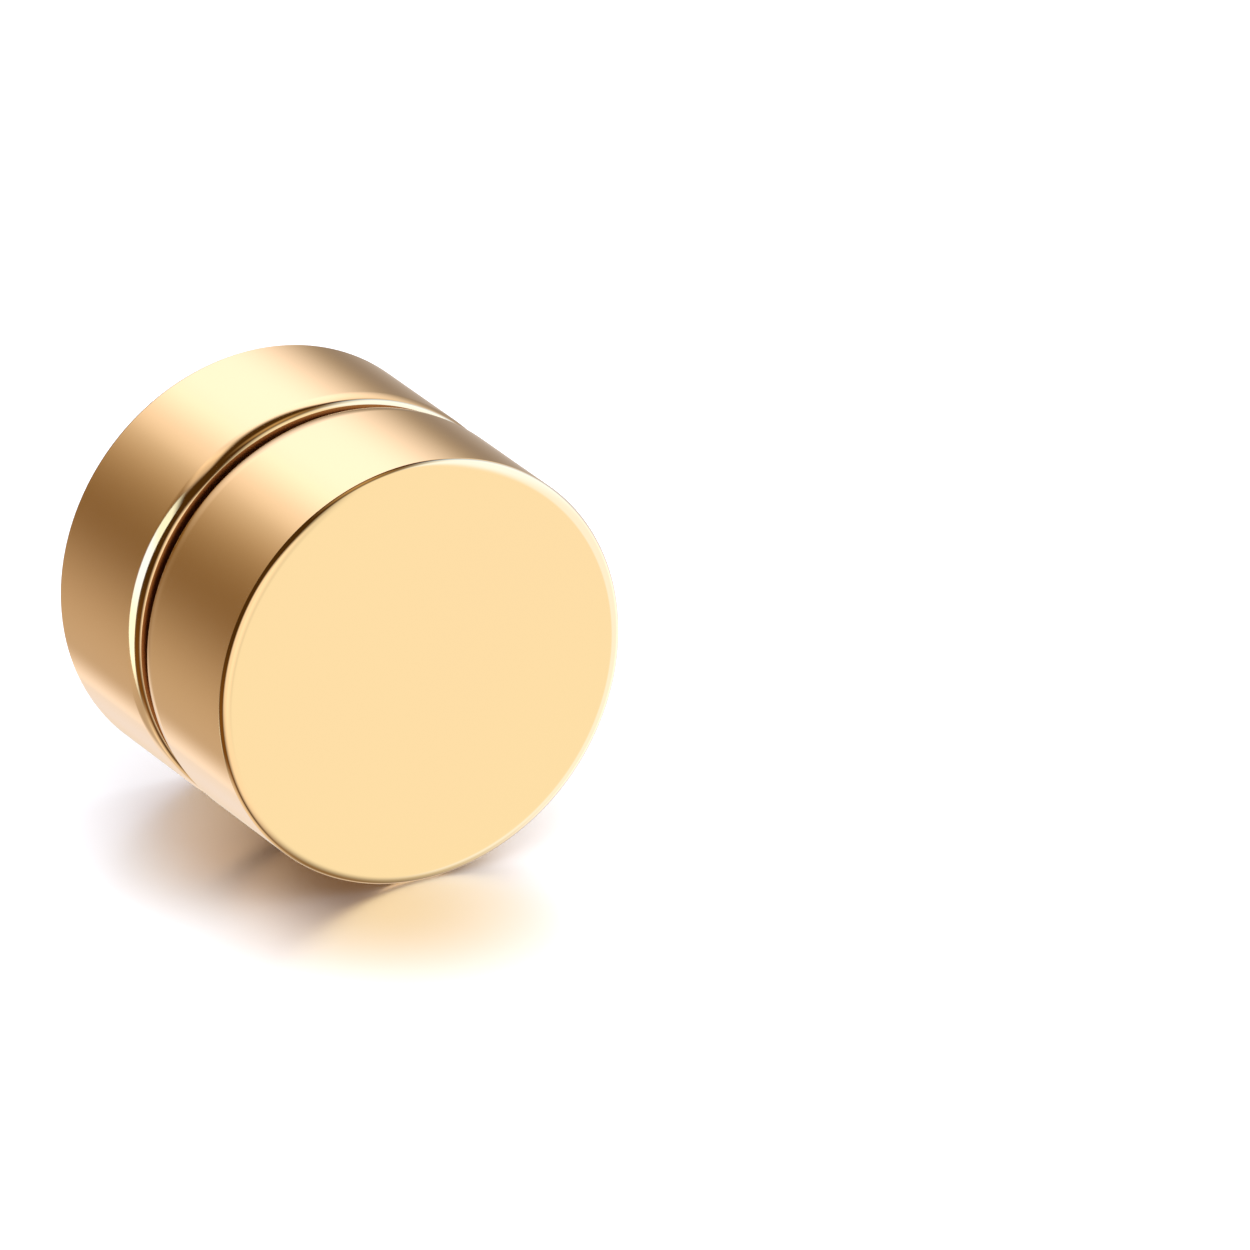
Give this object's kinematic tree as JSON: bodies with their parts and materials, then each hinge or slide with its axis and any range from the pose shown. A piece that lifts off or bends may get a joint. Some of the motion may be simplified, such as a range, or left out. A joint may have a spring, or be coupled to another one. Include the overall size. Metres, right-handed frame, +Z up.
{
  "type": "magnetic stud earring",
  "caption": "Round stud earring in polished gold-plated steel: equal round halves held face to face through the ear lobe by magnets.",
  "frame": {"origin": "on the surface that the earring lies on, under the middle of the parting plane between the two halves", "axes": "+Z up; the earring's axis lies level along Y, with the front face towards -Y and the back face towards +Y; +X is to the right, seen from the front"},
  "size_m": [0.008, 0.0064, 0.008],
  "materials": {
    "gold_plated_steel": "polished",
    "nickel_plated_magnet": "satin"
  },
  "bodies": {
    "front_half": {"front_case": "gold_plated_steel", "front_magnet": "nickel_plated_magnet"},
    "back_half": {"back_case": "gold_plated_steel", "back_magnet": "nickel_plated_magnet"}
  },
  "joints": [
    {"name": "halves_apart", "type": "slide", "parent": "front_half", "child": "back_half", "axis": [0, 1, 0], "range_m": [0, 0.01], "stiffness_N_per_m": 5, "springref_m": -0.01}
  ]
}
